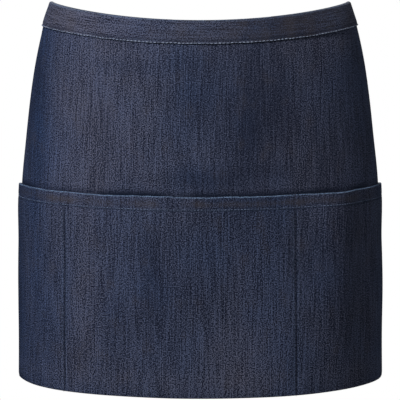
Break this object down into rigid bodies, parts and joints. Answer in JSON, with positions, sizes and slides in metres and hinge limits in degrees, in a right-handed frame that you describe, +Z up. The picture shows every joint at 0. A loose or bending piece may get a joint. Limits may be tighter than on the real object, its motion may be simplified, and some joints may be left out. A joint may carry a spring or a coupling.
{
  "type": "waist apron",
  "caption": "Short denim waist apron with a folded waistband, a full-width pocket panel divided into pockets, and ties knotted in a bow behind, in its worn form.",
  "frame": {"origin": "middle of the waist, level with the middle of the waistband at the front", "axes": "+Z up, the front faces -Y, +X to the right of a front view"},
  "size_m": [0.3283, 0.2673, 0.3508],
  "materials": {
    "denim": "dark indigo denim, upright twill streaks, worn a little lighter along folded edges",
    "denim_band": "dark indigo denim cut along the grain, so its streaks run round the waist",
    "stitch_light": "grey-blue sewing thread, matt",
    "stitch_dark": "navy sewing thread, matt"
  },
  "bodies": {
    "root": {"body_panel": "denim", "pocket_panel": "denim", "waistband": "denim_band", "tie_left": "denim_band", "tie_right": "denim_band", "bow_knot": "denim_band", "bow_loop_left": "denim_band", "bow_loop_right": "denim_band", "bow_tail_left": "denim_band", "bow_tail_right": "denim_band"}
  },
  "joints": []
}
